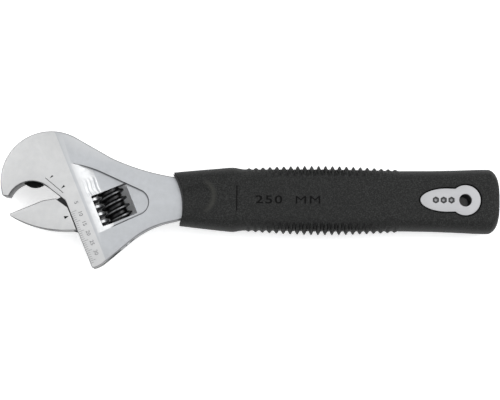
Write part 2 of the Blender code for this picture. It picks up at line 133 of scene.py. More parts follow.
# Grip
SCOOP_CENTRE = (-58.7, -2.4)
SCOOP_RADIUS = 25.55
GRIP_FRONT_X = -38.0
GRIP_END_X = 125.0
GRIP_END_HALF_WIDTH = 16.2
SLEEVE_BORE_HALF_WIDTH = 12.35
GRIP_HALF_THICKNESS = 10.5
CORNER_WIDTH = 6.0
END_ROUND = 5.5
RIB_COUNT = 22
RIB_PITCH = 3.5
FIRST_RIB_X = -0.6
DIMPLE_CENTRE = (-24.5, 0.3)
DIMPLE_DEPTH = 1.5
HANG_HOLE_X = 107.5
HANG_HOLE_RADIUS = 3.2
BADGE_RING_RADIUS = 7.55
BADGE_LEAF_X = 98.5
BADGE_LEAF_LENGTH = 13.5
BADGE_LEAF_HALF_WIDTH = 5.8
BADGE_BACK = 7.9  # height of the badge's seat over the mid-plane
PIP_PLACES = (92.7, 96.6, 100.5)

# Marks
MARK_LOW = FACE - 0.2
MARK_HIGH = FACE + 0.03
SCALE_STEP = 1.05

TO_HEAD = Matrix.Translation((*WORM_CENTRE, 0)) @ Matrix.Rotation(HEAD_ANGLE, 4, "Z")
ALONG_SLIDE = TO_HEAD @ Matrix.Rotation(FLAT, 4, "X")  # local Z runs down the slide
AT_HANG_HOLE = Matrix.Translation((HANG_HOLE_X, 0, 0))


# Outlines


def arc(centre, radius, start_deg, end_deg, steps):
    turn = math.radians(end_deg - start_deg) / steps
    angles = [math.radians(start_deg) + turn * i for i in range(steps + 1)]
    return [(centre[0] + radius * math.cos(a), centre[1] + radius * math.sin(a)) for a in angles]


def rounded(corners, steps=8):
    """The closed polygon of (x, y, radius) corners, with an arc of that radius at each."""
    outline = []
    for i, (x, y, radius) in enumerate(corners):
        corner = Vector((x, y))
        if radius == 0:
            outline.append((x, y))
            continue
        back = (Vector(corners[i - 1][:2]) - corner).normalized()
        ahead = (Vector(corners[(i + 1) % len(corners)][:2]) - corner).normalized()
        half = back.angle(ahead) / 2
        centre = corner + (back + ahead).normalized() * radius / math.sin(half)
        first = corner + back * radius / math.tan(half) - centre
        last = corner + ahead * radius / math.tan(half) - centre
        for step in range(steps + 1):
            spoke = first.slerp(last, step / steps).normalized() * radius
            outline.append(tuple(centre + spoke))
    return outline


def on_head(u, v):
    return (TO_HEAD @ Vector((u, v, 0)))[:2]


def crossing(p, p_dir, q, q_dir):
    """Where the line through p along p_dir meets the line through q along q_dir."""
    across = q_dir.orthogonal()
    return p + p_dir * ((q - p).dot(across) / p_dir.dot(across))


def soft_step(value, low, high):
    t = min(max((value - low) / (high - low), 0.0), 1.0)
    return t * t * (3 - 2 * t)


# Forms: bmeshes in millimetres


def plate(outline, low, high):
    """The outline's solid between two heights."""
    form = bmesh.new()
    face = form.faces.new([form.verts.new((x, y, low)) for x, y in outline])
    grown = bmesh.ops.extrude_face_region(form, geom=[face])
    top = [item for item in grown["geom"] if isinstance(item, bmesh.types.BMVert)]
    bmesh.ops.translate(form, verts=top, vec=(0, 0, high - low))
    bmesh.ops.recalc_face_normals(form, faces=form.faces)
    return form


def round_edges(form, wanted, radius, steps=3):
    """Rounds the edges that wanted(edge) picks."""
    edges = [edge for edge in form.edges if wanted(edge)]
    bmesh.ops.bevel(
        form,
        geom=edges,
        offset=radius,
        offset_type="OFFSET",
        segments=steps,
        profile=0.5,
        affect="EDGES",
        clamp_overlap=False,
        material=-1,
    )
    return form


def is_rim(edge):
    """True on an edge between a level face and an upright one."""
    heights = sorted(abs(face.normal.z) for face in edge.link_faces)
    return len(heights) == 2 and heights[0] < 0.3 and heights[1] > 0.9


def is_low_rim(edge):
    return is_rim(edge) and any(face.normal.z < -0.9 for face in edge.link_faces)


def moved(form, matrix):
    bmesh.ops.transform(form, matrix=matrix, verts=form.verts)
    return form


def mirrored(form):
    """The form turned over, front to back."""
    bmesh.ops.scale(form, vec=(1, 1, -1), verts=form.verts)
    bmesh.ops.reverse_faces(form, faces=form.faces)
    return form


def bar(radius, start, end, segments=64, rim=0.0):
    """A round bar on the local Z axis."""
    form = bmesh.new()
    bmesh.ops.create_cone(
        form, cap_ends=True, segments=segments, radius1=radius, radius2=radius, depth=end - start
    )
    bmesh.ops.translate(form, verts=form.verts, vec=(0, 0, (start + end) / 2))
    if rim:
        round_edges(form, is_rim, rim, 2)
    return form


def lathe(profile, segments=64):
    """A turned solid about the local Z axis, from a closed profile of (radius, z)."""
    form = bmesh.new()
    ring = [form.verts.new((x, 0, z)) for x, z in profile]
    edges = [form.edges.new((ring[i - 1], ring[i])) for i in range(len(ring))]
    bmesh.ops.spin(
        form,
        geom=ring + edges,
        axis=(0, 0, 1),
        angle=2 * math.pi,
        steps=segments,
        use_merge=True,
    )
    bmesh.ops.remove_doubles(form, verts=form.verts, dist=0.001)
    bmesh.ops.recalc_face_normals(form, faces=form.faces)
    return form


def shaped(form, others, how="DIFFERENCE"):
    """The form with the others cut from it, joined to it or met with it. All are used up."""
    blocks = []
    for shape in (form, *others):
        mesh = bpy.data.meshes.new("blank")
        shape.to_mesh(mesh)
        shape.free()
        block = bpy.data.objects.new("blank", mesh)
        bpy.context.scene.collection.objects.link(block)
        blocks.append(block)
    for other in blocks[1:]:
        change = blocks[0].modifiers.new("shape", "BOOLEAN")
        change.operation = how
        change.object = other
    bpy.context.view_layer.update()
    graph = bpy.context.evaluated_depsgraph_get()
    result = bmesh.new()
    mesh = bpy.data.meshes.new_from_object(blocks[0].evaluated_get(graph))
    result.from_mesh(mesh)
    for spent in [mesh] + [block.data for block in blocks]:
        bpy.data.meshes.remove(spent)
    return result


def finished(name, form, finish, body="handle", replaces=(), sharp=30):
    """The form as a piece of the model, in metres and on its body."""
    bmesh.ops.translate(form, verts=form.verts, vec=(0, 0, MID_Z))
    bmesh.ops.scale(form, vec=(MM, MM, MM), verts=form.verts)
    mesh = bpy.data.meshes.new(name)
    form.to_mesh(mesh)
    form.free()
    mesh.shade_smooth()
    mesh.set_sharp_from_angle(angle=math.radians(sharp))
    mesh.materials.append(finish)
    piece = bpy.data.objects.new(name, mesh)
    bpy.context.scene.collection.objects.link(piece)
    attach(piece, body)
    if replaces:
        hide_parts(*replaces)
    return piece


def lettering(words, size, stretch=1.0, spacing=1.0, bold=0.0):
    """Solid letters on the local XY plane, from z 0 to 1, starting at the origin."""
    curve = bpy.data.curves.new("letters", "FONT")
    curve.body = words
    curve.size = size
    curve.extrude = 0.5
    curve.offset = bold
    curve.space_character = spacing
    curve.align_y = "CENTER"
    letters = bpy.data.objects.new("letters", curve)
    bpy.context.scene.collection.objects.link(letters)
    bpy.context.view_layer.update()
    graph = bpy.context.evaluated_depsgraph_get()
    mesh = bpy.data.meshes.new_from_object(letters.evaluated_get(graph))
    form = bmesh.new()
    form.from_mesh(mesh)
    bpy.data.objects.remove(letters)
    bpy.data.meshes.remove(mesh)
    bmesh.ops.remove_doubles(form, verts=form.verts, dist=0.0001)
    bmesh.ops.scale(form, vec=(stretch, 1, 1), verts=form.verts)
    bmesh.ops.translate(form, verts=form.verts, vec=(0, 0, 0.5))
    return form


def gathered(forms):
    """Several separate forms as one."""
    whole = bmesh.new()
    for form in forms:
        mesh = bpy.data.meshes.new("part")
        form.to_mesh(mesh)
        form.free()
        whole.from_mesh(mesh)
        bpy.data.meshes.remove(mesh)
    return whole


# Finishes


class Finish:
    """A material whose nodes read the piece's own coordinates, in metres."""

    def __init__(self, name, colour, roughness, metallic=0.0):
        self.material = bpy.data.materials.new(name)
        self.material.use_nodes = True
        self.tree = self.material.node_tree
        self.shader = self.tree.nodes["Principled BSDF"]
        self.shader.inputs["Base Color"].default_value = (*colour, 1)
        self.shader.inputs["Roughness"].default_value = roughness
        self.shader.inputs["Metallic"].default_value = metallic
        self.place = self.node("ShaderNodeTexCoord").outputs["Object"]

    def node(self, kind, **settings):
        made = self.tree.nodes.new(kind)
        for key, value in settings.items():
            setattr(made, key, value)
        return made

    def feed(self, socket, value):
        if isinstance(value, bpy.types.NodeSocket):
            self.tree.links.new(value, socket)
        else:
            socket.default_value = value

    def mapped(self, location=(0, 0, 0), turn=0.0, scale=(1, 1, 1)):
        mapping = self.node("ShaderNodeMapping", vector_type="TEXTURE")
        self.feed(mapping.inputs["Vector"], self.place)
        mapping.inputs["Location"].default_value = location
        mapping.inputs["Rotation"].default_value = (0, 0, turn)
        mapping.inputs["Scale"].default_value = scale
        return mapping.outputs["Vector"]

    def noise(self, scale, detail=3.0, roughness=0.5, vector=None):
        noise = self.node("ShaderNodeTexNoise")
        self.feed(noise.inputs["Vector"], vector or self.place)
        noise.inputs["Scale"].default_value = scale
        noise.inputs["Detail"].default_value = detail
        noise.inputs["Roughness"].default_value = roughness
        return noise.outputs["Fac"]

    def math(self, operation, a, b=0.0, c=0.0):
        node = self.node("ShaderNodeMath", operation=operation)
        for socket, value in zip(node.inputs, (a, b, c)):
            self.feed(socket, value)
        return node.outputs[0]

    def product(self, *values):
        result = values[0]
        for value in values[1:]:
            result = self.math("MULTIPLY", result, value)
        return result

    def vector(self, operation, a, b=(0, 0, 0)):
        node = self.node("ShaderNodeVectorMath", operation=operation)
        self.feed(node.inputs[0], a)
        self.feed(node.inputs[1], b)
        gives_number = operation in ("DISTANCE", "DOT_PRODUCT", "LENGTH")
        return node.outputs["Value" if gives_number else "Vector"]

    def split(self, vector):
        """The vector's X, Y and Z outputs."""
        node = self.node("ShaderNodeSeparateXYZ")
        self.feed(node.inputs[0], vector)
        return node.outputs

    def off_line(self, x, y):
        """How far a point is from the upright line through (x, y), given in millimetres."""
        level_place = self.vector("MULTIPLY", self.place, (1, 1, 0))
        return self.vector("DISTANCE", level_place, (x * MM, y * MM, 0))

    def between(self, value, low, high, out_low=0.0, out_high=1.0):
        """value's way from low to high, as out_low to out_high, held at the ends."""
        node = self.node("ShaderNodeMapRange")
        for socket, number in zip(node.inputs, (value, low, high, out_low, out_high)):
            self.feed(socket, number)
        return node.outputs["Result"]

    def blend(self, factor, a, b):
        """The mix of two numbers."""
        node = self.node("ShaderNodeMix", data_type="FLOAT")
        for socket, value in zip((node.inputs[0], node.inputs[2], node.inputs[3]), (factor, a, b)):
            self.feed(socket, value)
        return node.outputs[0]

    def mix(self, factor, a, b):
        """The mix of two colours."""
        node = self.node("ShaderNodeMix", data_type="RGBA")
        self.feed(node.inputs["Factor"], factor)
        sockets = [s for s in node.inputs if s.type == "RGBA"]
        for socket, colour in zip(sockets, (a, b)):
            is_socket = isinstance(colour, bpy.types.NodeSocket)
            self.feed(socket, colour if is_socket else (*colour, 1))
        return next(s for s in node.outputs if s.type == "RGBA")

    def colour(self, value):
        self.feed(self.shader.inputs["Base Color"], value)

    def roughness(self, value):
        self.feed(self.shader.inputs["Roughness"], value)

    def bump(self, height, depth, strength=1.0):
        node = self.node("ShaderNodeBump")
        node.inputs["Strength"].default_value = strength
        node.inputs["Distance"].default_value = depth * MM
        self.feed(node.inputs["Height"], height)
        self.feed(self.shader.inputs["Normal"], node.outputs["Normal"])


def chrome_finish():
    """Ground flats on the jaws and strip, cooler satin on the arm, a painted highlight on the
    ramp, painted shade on walls, rims and web.
    """
    finish = Finish("satin_chrome", (0.6, 0.6, 0.6), 0.35, 1.0)
    finish.shader.inputs["Specular IOR Level"].default_value = 0.25
    head_place = finish.mapped((WORM_CENTRE[0] * MM, WORM_CENTRE[1] * MM, 0), HEAD_ANGLE)
    u = finish.split(head_place)["X"]
    arm = finish.between(u, (RIDGE_U - 0.15) * MM, (RIDGE_U + 0.15) * MM)
    off_arm = finish.math("SUBTRACT", 1.0, arm)
    normal = finish.node("ShaderNodeNewGeometry").outputs["Normal"]
    level = finish.math("ABSOLUTE", finish.split(normal)["Z"])

    cloud = finish.noise(45, 4.0)
    ground = finish.mix(cloud, (0.455, 0.455, 0.455), (0.52, 0.52, 0.518))
    satin = finish.mix(cloud, (0.375, 0.385, 0.40), (0.43, 0.44, 0.455))
    mottle = finish.between(finish.noise(300, 5.0, 0.65), 0.35, 0.65)
    mottle = finish.product(mottle, finish.between(arm, 0.0, 1.0, 0.2, 0.4))
    bright = finish.mix(mottle, finish.mix(arm, ground, satin), (0.35, 0.357, 0.365))

    # The recess's ramp: a painted highlight, lighter on the faces that lean towards the handle.
    to_handle = (math.cos(HEAD_ANGLE), math.sin(HEAD_ANGLE), 0)
    lean = finish.between(finish.vector("DOT_PRODUCT", normal, to_handle), 0.09, 0.16)
    ramp = finish.product(lean, arm, finish.between(level, 0.8, 0.9))
    bright = finish.mix(ramp, bright, (0.47, 0.475, 0.48))

    # Painted shade on the walls and rounded rims, darkest round the mouth.
    upright = finish.between(level, 0.7, 0.985, 1.0, 0.0)
    upright = finish.product(upright, finish.math("SUBTRACT", 1.0, ramp))
    mouth = finish.between(finish.off_line(*MOUTH_CENTRE), 16 * MM, 20 * MM, 1.0, 0.0)
    shade = finish.product(upright, finish.math("MULTIPLY_ADD", mouth, 0.35, 0.6))

    # Painted shade on the web between the faces, at the throat of the mouth.
    height = finish.math("SUBTRACT", finish.split(finish.place)["Z"], MID_Z * MM)
    web = finish.between(finish.math("ABSOLUTE", height), 2.4 * MM, 2.7 * MM, 1.0, 0.0)
    web = finish.product(web, finish.between(level, 0.8, 0.95), off_arm)
    shade = finish.math("MAXIMUM", shade, web)
    finish.colour(finish.mix(shade, bright, (0.03, 0.031, 0.033)))
    finish.feed(finish.shader.inputs["Metallic"], finish.math("MULTIPLY_ADD", shade, -0.8, 1.0))

    scuffs = finish.between(finish.noise(320, 6.0, 0.7), 0.45, 0.75, 0.0, 0.12)
    polish = finish.between(arm, 0.0, 1.0, 0.36, 0.42)
    finish.roughness(finish.math("ADD", polish, scuffs))
    along_slide = finish.mapped((0, 0, 0), HEAD_ANGLE, (0.05, 1.6, 1.0))
    grain = finish.noise(110, 3.0, 0.6, along_slide)
    blast = finish.noise(1500, 3.0, 0.7)
    finish.bump(finish.blend(arm, grain, blast), 0.03, 0.6)
    return finish.material


def oxide_finish():
    """Oiled black oxide, worn to bare steel along the crests of the worm's thread."""
    finish = Finish("black_oxide", (0.02, 0.02, 0.022), 0.3, 0.9)
    cloud = finish.noise(400, 5.0, 0.65)
    worm_place = (WORM_CENTRE[0] * MM, WORM_CENTRE[1] * MM, MID_Z * MM)
    across = finish.vector("MULTIPLY", finish.mapped(worm_place, HEAD_ANGLE), (1, 0, 1))
    from_axis = finish.vector("LENGTH", across)
    crest = finish.between(from_axis, (WORM_RADIUS - 0.25) * MM, (WORM_RADIUS - 0.02) * MM)
    past = (WORM_RADIUS + 0.1) * MM
    below = finish.between(from_axis, past, past + 0.1 * MM, 1.0, 0.0)
    worn = finish.product(crest, below, finish.between(cloud, 0.25, 0.6))
    patchy = finish.between(cloud, 0.4, 0.75)
    black = finish.mix(patchy, (0.012, 0.012, 0.013), (0.05, 0.05, 0.05))
    finish.colour(finish.mix(worn, black, (0.13, 0.132, 0.135)))
    finish.roughness(finish.between(cloud, 0.3, 0.7, 0.2, 0.36))
    finish.bump(finish.noise(1500, 3.0), 0.02, 0.5)
    return finish.material


def steel_finish():
    finish = Finish("spring_steel", (0.5, 0.5, 0.5), 0.3, 1.0)
    cloud = finish.noise(500, 4.0)
    finish.colour(finish.mix(cloud, (0.42, 0.42, 0.43), (0.6, 0.6, 0.58)))
    finish.roughness(finish.between(cloud, 0.3, 0.7, 0.22, 0.4))
    finish.bump(finish.noise(2200, 2.0), 0.01, 0.4)
    return finish.material


def rubber_finish():
    """Spark-textured soft rubber: charcoal with a fine pale speckle and a dull sheen."""
    finish = Finish("soft_rubber", (0.04, 0.042, 0.041), 0.7)
    finish.shader.inputs["Specular IOR Level"].default_value = 0.22
    speckle = finish.noise(1700, 5.0, 0.75)
    cloud = finish.noise(60, 3.0)
    dark = finish.mix(cloud, (0.003, 0.0032, 0.003), (0.006, 0.0062, 0.006))
    pale = (0.036, 0.037, 0.036)
    rubber = finish.mix(finish.between(speckle, 0.45, 0.66), dark, pale)
    at = finish.split(finish.place)

    # A painted highlight: a pale crescent on the far side of the thumb dimple.
    away = finish.off_line(-25.7, 1.0)
    inner = finish.between(away, 5.5 * MM, 7.5 * MM)
    outer = finish.between(away, 7.8 * MM, 9.6 * MM, 1.0, 0.0)
    far_side = finish.between(at["X"], -24 * MM, -19 * MM)
    marked_face = finish.between(at["Z"], 15 * MM, 16 * MM, 0.0, 0.5)
    dimple_highlight = finish.product(inner, outer, far_side, marked_face)
    rubber = finish.mix(dimple_highlight, rubber, (0.062, 0.062, 0.054))

    # Painted shade in the gaps between the ribs.
    ribs_per_metre = 1 / (RIB_PITCH * MM)
    rib_start = 0.5 - FIRST_RIB_X / RIB_PITCH
    rib = finish.math("MULTIPLY_ADD", at["X"], ribs_per_metre, rib_start)
    off_rib = finish.math("ABSOLUTE", finish.math("SUBTRACT", finish.math("FRACT", rib), 0.5))
    gap = finish.between(off_rib, 0.3, 0.42)
    after_first = finish.between(rib, 2.0, 5.0)
    before_last = finish.between(rib, RIB_COUNT - 5.0, RIB_COUNT - 1.0, 1.0, 0.0)
    off_middle = finish.math("ABSOLUTE", at["Y"])
    reach = finish.between(off_middle, 11.2 * MM, 12.2 * MM, 0.0, 0.95)
    gaps = finish.product(gap, after_first, before_last, reach)
    finish.colour(finish.mix(gaps, rubber, (0.001, 0.001, 0.001)))

    finish.roughness(finish.between(speckle, 0.3, 0.7, 0.55, 0.8))
    grain = finish.math("MULTIPLY_ADD", finish.noise(2600, 3.0), 0.4, speckle)
    finish.bump(grain, 0.16, 0.7)
    return finish.material


def hard_plastic_finish():
    finish = Finish("hard_plastic", (0.012, 0.012, 0.013), 0.5)
    cloud = finish.noise(300, 3.0)
    finish.colour(finish.mix(cloud, (0.008, 0.008, 0.009), (0.018, 0.018, 0.019)))
    finish.roughness(finish.between(cloud, 0.3, 0.7, 0.42, 0.58))
    finish.bump(finish.noise(1800, 2.0), 0.03, 0.4)
    return finish.material


def badge_finish():
    finish = Finish("pale_plastic", (0.6, 0.6, 0.62), 0.45)
    cloud = finish.noise(90, 3.0)
    finish.colour(finish.mix(cloud, (0.38, 0.38, 0.39), (0.45, 0.45, 0.46)))
    finish.roughness(finish.between(finish.noise(800, 3.0), 0.3, 0.7, 0.38, 0.52))
    finish.bump(finish.noise(2400, 2.0), 0.02, 0.4)
    return finish.material


def etch_finish():
    """Laser-marked metal: a matt grey that isn't quite even."""
    finish = Finish("etched_grey", (0.2, 0.2, 0.2), 0.7, 0.4)
    cloud = finish.noise(900, 4.0)
    uneven = finish.between(cloud, 0.35, 0.65)
    finish.colour(finish.mix(uneven, (0.13, 0.13, 0.135), (0.27, 0.27, 0.275)))
    finish.bump(finish.noise(2500, 2.0), 0.01, 0.4)
    return finish.material


def matt_black_finish():
    """Dead black, for the filled marks and the insert in the shade of the mouth."""
    finish = Finish("matt_black", (0.003, 0.003, 0.003), 0.9)
    finish.shader.inputs["Specular IOR Level"].default_value = 0.08
    cloud = finish.noise(400, 4.0)
    finish.colour(finish.mix(cloud, (0.002, 0.002, 0.002), (0.007, 0.007, 0.007)))
    finish.roughness(finish.between(cloud, 0.3, 0.7, 0.8, 0.95))
    finish.bump(finish.noise(1500, 3.0), 0.02, 0.4)
    return finish.material


# Head


def head_outline():
    facet_turn = math.radians(FACET_ANGLE)
    facet_dir = Vector((math.cos(facet_turn), math.sin(facet_turn)))
    facet_start = arc(MOUTH_CENTRE, MOUTH_RADIUS, 90 + FACET_ANGLE, 90, 1)[0]
    slide = Vector((math.sin(HEAD_ANGLE), -math.cos(HEAD_ANGLE)))
    edge_point = Vector(on_head(STRIP_EDGE_U, 0))
    throat = crossing(Vector(facet_start), facet_dir, edge_point, slide)
    to_chin = Vector(CHIN_CENTRE) - edge_point
    off_edge = to_chin.dot(slide.orthogonal())
    down_edge = to_chin.dot(slide) + math.sqrt(CHIN_RADIUS**2 - off_edge**2)
    corner = edge_point + slide * down_edge
    strip = [(*facet_start, 0), (*throat, THROAT_RADIUS), (*corner, STRIP_CORNER_RADIUS)]
    strip += [(x, y, 0) for x, y in arc(CHIN_CENTRE, CHIN_RADIUS, -73.0, -49.8, 12)]
    left, right = TANG_X
    half = TANG_HALF_WIDTH
    tang = [(left, -half, 0), (right, -half, 4.0), (right, half, 4.0), (left, half, 0)]
    return (
        arc(BACK_CENTRE, BACK_RADIUS, 261.5, 245.5, 20)
        + arc(CROWN_CENTRE, CROWN_RADIUS, 60.0, 196.0, 90)
        + arc(HOOK_TIP_CENTRE, HOOK_TIP_RADIUS, 200.0, 265.0, 6)
        + arc(MOUTH_CENTRE, MOUTH_RADIUS, 156.5, 90 + FACET_ANGLE, 40)[:-1]
        + rounded(strip)
        + arc(NECK_CENTRE, NECK_RADIUS, 130.2, 100.5, 30)
        + rounded(tang)
    )


def arm_cut():
    """Everything over the arm's face, which leaves the strip at a crease and falls away."""
    over_arm = [*ARM_SURFACE, (ARM_SURFACE[-1][0], PAST_FACE), (ARM_SURFACE[0][0], PAST_FACE)]
    return moved(plate(over_arm, -160, 90), ALONG_SLIDE)


def over_tang():
    left, right = TANG_X
    outline = [(left, -40), (right + 10, -40), (right + 10, 40), (left, 40)]
    return plate(outline, TANG_HALF_THICKNESS, PAST_FACE)


def recess_outline():
    nose = arc(RECESS_NOSE_CENTRE, RECESS_NOSE_RADIUS, -65.0, 65.0, 24)
    brow = arc(RECESS_BROW_CENTRE, RECESS_BROW_RADIUS, 66.0, 84.0, 14)
    return nose + brow + [on_head(RECESS_END_U, v) for v in RECESS_ENDS_V]


def ramp_height(u, v):
    """The ramp from the ridge down to the recess's floor, with uneven flutes over the window."""
    fall = soft_step(u, RIDGE_U - 0.4, -2.5)
    across = soft_step(u, -11.2, -9.4) * (1 - soft_step(u, -4.6, -2.6))
    over_window = soft_step(v, 5.5, 9.0) * (1 - soft_step(v, 14.5, 18.5))
    wave = math.sin(2 * math.pi * (u + 0.35 * math.sin(0.7 * v) + 0.08 * v) / 2.0)
    wave += 0.5 * math.sin(2 * math.pi * (u - 0.12 * v) / 3.1 + 1.0)
    plain = FACE + 0.1 + (RECESS_FLOOR - FACE - 0.17) * fall
    return plain + FLUTE_HEIGHT * wave * across * over_window


def ramp_block():
    """The metal left under the ramp."""
    start_u, reach = RIDGE_U - 1.0, 14.0
    low_v, high_v = -14.0, 31.0
    form = bmesh.new()
    bmesh.ops.create_grid(form, x_segments=70, y_segments=90, size=1.0)
    floor = bmesh.ops.extrude_face_region(form, geom=form.faces[:])["geom"]
    lowered = {item for item in floor if isinstance(item, bmesh.types.BMVert)}
    for vert in form.verts:
        u = start_u + reach * (vert.co.x + 1) / 2
        v = low_v + (high_v - low_v) * (vert.co.y + 1) / 2
        vert.co = (u, v, 3.0 if vert in lowered else ramp_height(u, v))
    bmesh.ops.recalc_face_normals(form, faces=form.faces)
    return moved(form, TO_HEAD)


def recess_cut():
    """The finger recess: steep walls, and a ramp from the ridge down to its floor."""
    pocket = plate(recess_outline(), RECESS_FLOOR, 9.0)
    round_edges(pocket, is_low_rim, RECESS_FILLET, 4)
    return shaped(pocket, [ramp_block()])


def window_cut():
    left, right = WINDOW_U
    high = WINDOW_HALF_V
    corners = [(left, -high, 0.6), (right, -high, 0.6), (right, high, 0.6), (left, high, 0.6)]
    return moved(plate(rounded(corners, 4), -PAST_FACE, PAST_FACE), TO_HEAD)


def channel_cuts():
    """The rod's round channel and the slot that lets the web out to the jaw's nose."""
    channel = bar(CHANNEL_RADIUS, -27.0, 60)
    at_rod = ALONG_SLIDE @ Matrix.Translation((ROD_U, 0, 0))
    slot = [(ROD_U, -60), (ROD_U, SLOT_TOP_V), (-15, SLOT_TOP_V)]
    slot += [(-19, SLOT_THROAT_V), (-40, SLOT_THROAT_V), (-40, -60)]
    slot_form = plate(slot, -SLOT_HALF_WIDTH, SLOT_HALF_WIDTH)
    return [moved(channel, at_rod), moved(slot_form, TO_HEAD)]


def pin_cuts():
    """The pin's seat above the worm, and the wider hole it is fitted through."""
    return [moved(bar(2.2, -12.8, 0, 32), ALONG_SLIDE), moved(bar(2.9, 0, 60, 32), ALONG_SLIDE)]


def make_body(chrome):
    blank = plate(head_outline(), -FACE, FACE)
    body = shaped(blank, [arm_cut(), mirrored(arm_cut())])
    round_edges(body, is_rim, RIM, 3)
    cuts = [over_tang(), mirrored(over_tang()), recess_cut(), mirrored(recess_cut())]
    cuts += [window_cut(), *channel_cuts(), *pin_cuts(), insert_form(0.15)]
    body = shaped(body, cuts)
    return finished("forged_body", body, chrome, replaces=["body"])


def insert_form(margin=0.0):
    radius, half = INSERT_RADIUS + margin, INSERT_HALF_LENGTH + margin
    reach = math.degrees(math.acos(half / radius))
    outline = arc(INSERT_CENTRE, radius, 180 + reach, 360 - reach, 24)
    top = INSERT_TOP_Y + margin
    outline += [(INSERT_CENTRE[0] + half, top), (INSERT_CENTRE[0] - half, top)]
    return plate(outline, -INSERT_HALF_DEPTH - margin, INSERT_HALF_DEPTH + margin)


def make_insert(black):
    insert = round_edges(insert_form(), is_rim, 0.3, 2)
    return finished("roof_insert", insert, black, replaces=["jaw_insert"])


# Sliding jaw


def rack_cuts():
    """The rack's grooves, turned to the lead of the worm's thread."""
    lead = math.atan(PITCH / (math.pi * (WORM_RADIUS + WORM_ROOT_RADIUS)))
    deep, narrow, wide = 1.3, THREAD_CREST / 2 + 0.8, THREAD_BASE / 2 + 0.75
    groove = [(-10.6, -deep), (-7.4, -narrow), (-4.4, -wide)]
    groove += [(u, -v) for u, v in reversed(groove)]
    cuts = []
    for tooth in range(-3, 6):
        turn = Matrix.Translation((0, tooth * PITCH, 0)) @ Matrix.Rotation(-lead, 4, "X")
        cuts.append(moved(plate(groove, -5, 5), turn))
    return cuts


def make_jaw(chrome):
    belly = arc(BELLY_CENTRE, BELLY_RADIUS, 218.4, 253.9, 40)
    back_u = STRIP_EDGE_U - 0.2
    outline = [(back_u, 7.3), (-26.0, 13.7), (-32.4, 15.2), (-50.2, 15.2)] + belly
    nose = round_edges(plate(outline, -FACE, FACE), is_rim, 0.5, 3)
    web = [(-24.0, -4.6), (-25.9, 13.6), (-22.8, 14.1), (-20.0, 14.1), (-15.0, 9.0)]
    web += [(ROD_U, 9.0), (ROD_U, -11.5), (-15.0, -11.5)]
    rod = moved(bar(ROD_RADIUS, -22.5, 12.5, 48, 0.5), Matrix.Rotation(FLAT, 4, "X"))
    bmesh.ops.translate(rod, verts=rod.verts, vec=(ROD_U, 0, 0))
    blank = shaped(nose, [plate(web, -WEB_HALF_WIDTH, WEB_HALF_WIDTH), rod], "UNION")
    jaw = moved(shaped(blank, rack_cuts()), TO_HEAD)
    return finished("sliding_jaw", jaw, chrome, "sliding_jaw", ["movable_jaw"])


# Worm, pin and spring


def thread_form():
    """A closed helical thread about the local Z axis, longer than the worm."""
    turns, steps, soft = 5, 60, 0.3
    base, crest = THREAD_BASE / 2, THREAD_CREST / 2
    root, top = WORM_ROOT_RADIUS, WORM_RADIUS
    profile = [(root, -PITCH / 2), (root, -base - soft), (root + soft, -base)]
    profile += [(top - soft, -crest), (top, -crest + soft)]
    profile += [(r, -z) for r, z in reversed(profile)]
    start = -PITCH * turns / 2
    form = bmesh.new()
    points = [form.verts.new((r, 0, start + z)) for r, z in profile]
    edges = [form.edges.new(pair) for pair in zip(points, points[1:])]
    bmesh.ops.spin(
        form,
        geom=points + edges,
        axis=(0, 0, 1),
        dvec=(0, 0, PITCH / steps),
        angle=2 * math.pi * turns,
        steps=steps * turns,
        use_merge=False,
    )
    bmesh.ops.remove_doubles(form, verts=form.verts, dist=0.001)
    for end in (start, -start):
        hub = form.verts.new((0, 0, end))
        rim = [edge for edge in form.edges if edge.is_boundary and edge.verts[0].co.z * end > 0]
        for edge in rim:
            form.faces.new((*edge.verts, hub))
    bmesh.ops.recalc_face_normals(form, faces=form.faces)
    return form


def make_worm(oxide):
    half, bore, seat = WORM_HALF_LENGTH, PIN_RADIUS + 0.2, WORM_HALF_LENGTH - SPRING_SEAT_DEPTH
    outer, end = WORM_RADIUS + 0.3, WORM_RADIUS - 1.2
    blank = [(bore, -half), (end, -half), (outer, -half + 0.9), (outer, half - 0.9)]
    blank += [(end, half), (3.7, half), (3.7, seat), (bore, seat)]
    worm = moved(shaped(thread_form(), [lathe(blank)], "INTERSECT"), ALONG_SLIDE)
    return finished("thread_worm", worm, oxide, "adjuster", ["worm"], sharp=40)


def make_pin(steel):
    radius = PIN_RADIUS
    profile = [(0.001, -12.4), (radius - 0.3, -12.4), (radius, -12.0), (radius, 9.4)]
    profile += [(2.6, 9.4), (2.6, 15.1), (2.2, 15.5), (0.001, 15.5)]
    driver_slot = plate([(-4, -0.4), (4, -0.4), (4, 0.4), (-4, 0.4)], 14.4, 17)
    pin = moved(shaped(lathe(profile, 40), [driver_slot]), ALONG_SLIDE)
    return finished("pivot_pin", pin, steel, replaces=["worm_pin"])


def make_spring(steel):
    turns, steps, wire, radius = 3, 24, 0.35, 2.95
    low = WORM_HALF_LENGTH - SPRING_SEAT_DEPTH + wire + 0.1
    high = WINDOW_HALF_V - wire - 0.1
    form = bmesh.new()
    tilt = Matrix.Rotation(FLAT, 4, "X")
    bmesh.ops.create_circle(form, cap_ends=True, segments=10, radius=wire, matrix=tilt)
    bmesh.ops.translate(form, verts=form.verts, vec=(radius, 0, low))
    bmesh.ops.spin(
        form,
        geom=form.verts[:] + form.edges[:] + form.faces[:],
        axis=(0, 0, 1),
        dvec=(0, 0, (high - low) / (turns * steps)),
        angle=2 * math.pi * turns,
        steps=turns * steps,
        use_merge=False,
    )
    bmesh.ops.recalc_face_normals(form, faces=form.faces)
    moved(form, ALONG_SLIDE)
    return finished("coil_spring", form, steel, replaces=["worm_spring"], sharp=50)


# Grip


